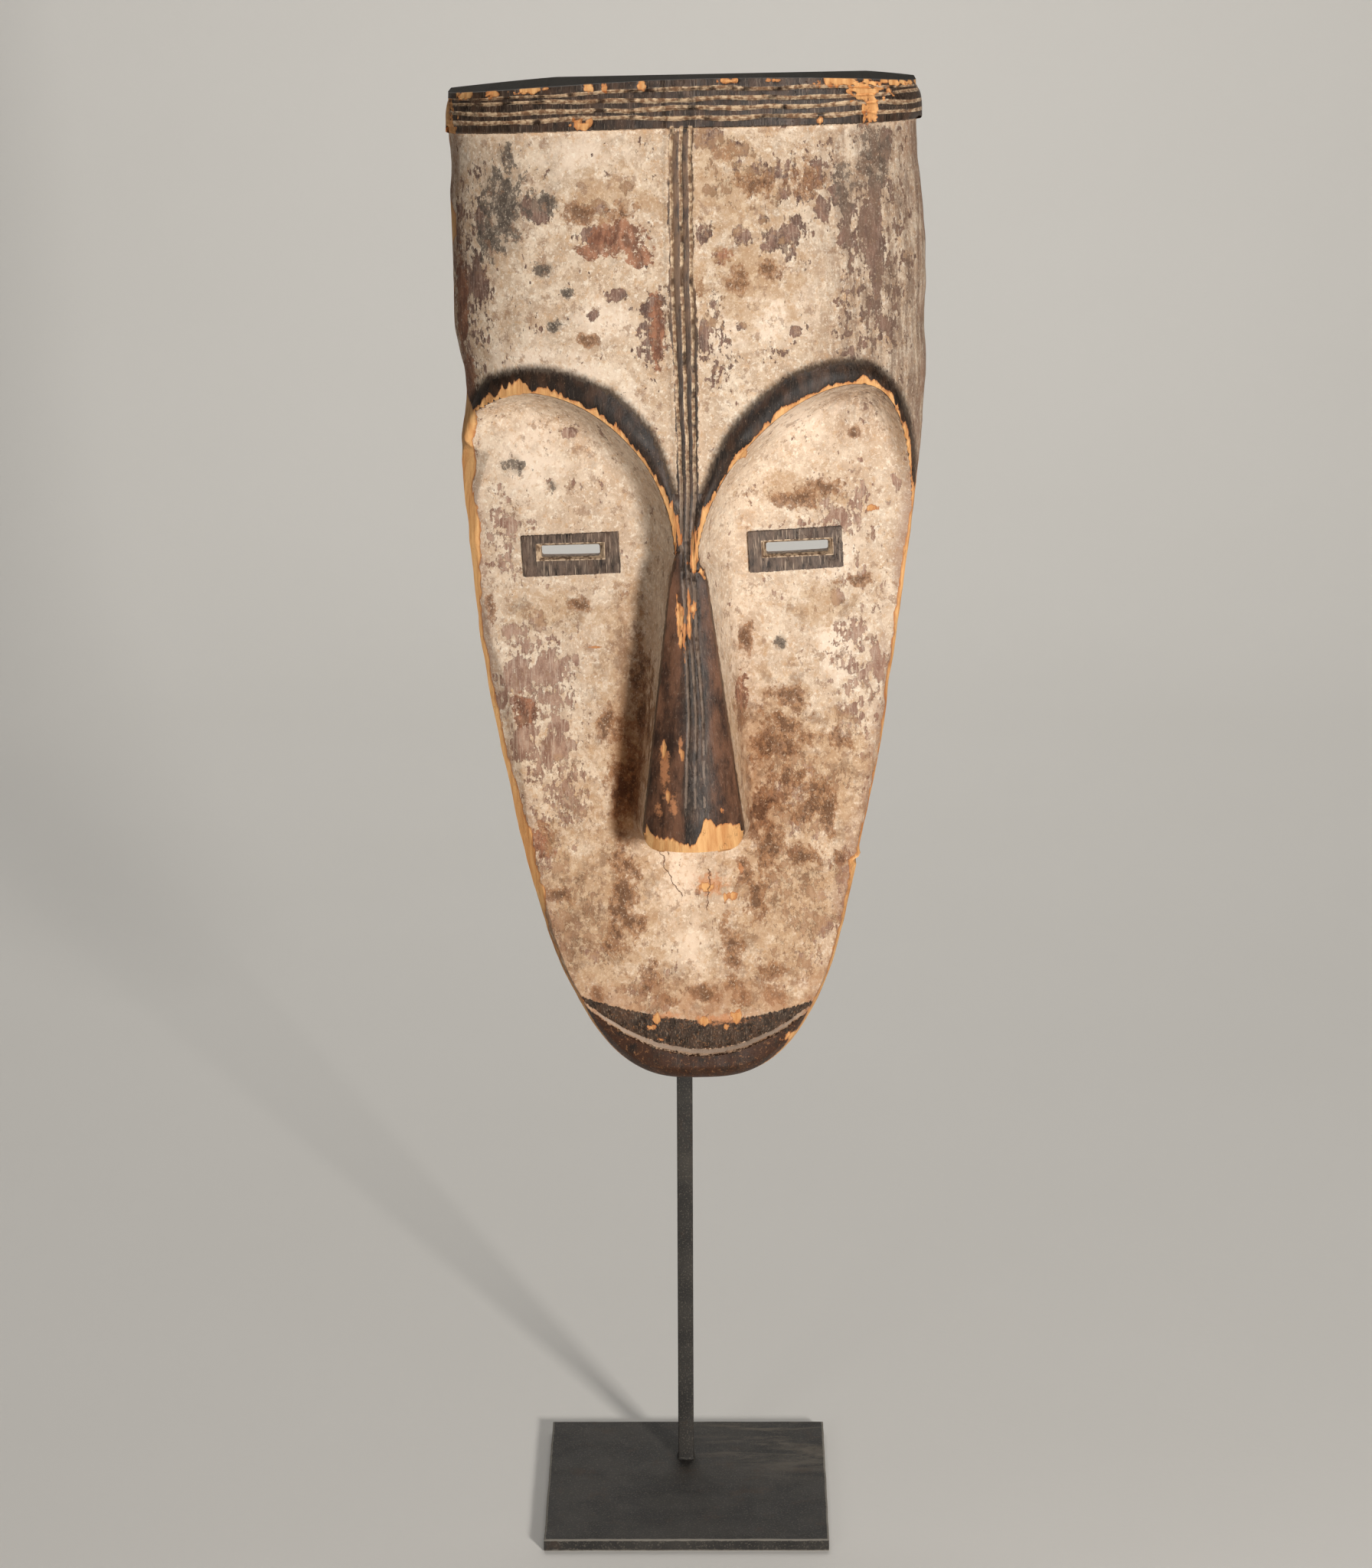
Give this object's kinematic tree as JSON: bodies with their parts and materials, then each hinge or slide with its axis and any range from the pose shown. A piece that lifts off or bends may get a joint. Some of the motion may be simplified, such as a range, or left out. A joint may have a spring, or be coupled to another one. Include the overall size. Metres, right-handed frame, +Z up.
{
  "type": "fang mask",
  "caption": "Long carved face mask with a domed forehead, slit eyes, ridged nose and hollow back, held upright on a square rod and foot plate.",
  "frame": {"origin": "centre of the foot plate's underside, where it rests on the table", "axes": "+X to the viewer's right, +Y away from the viewer, behind the mask, +Z up. The mask looks along -Y."},
  "size_m": [0.2923, 0.1832, 0.9188],
  "materials": {
    "painted_wood": "light wood under worn cream kaolin and black pigment",
    "black_steel": "blackened, satin"
  },
  "bodies": {
    "root": {"mask": "painted_wood", "stand_plate": "black_steel", "stand_rod": "black_steel", "stand_crossbar": "black_steel"}
  },
  "joints": []
}
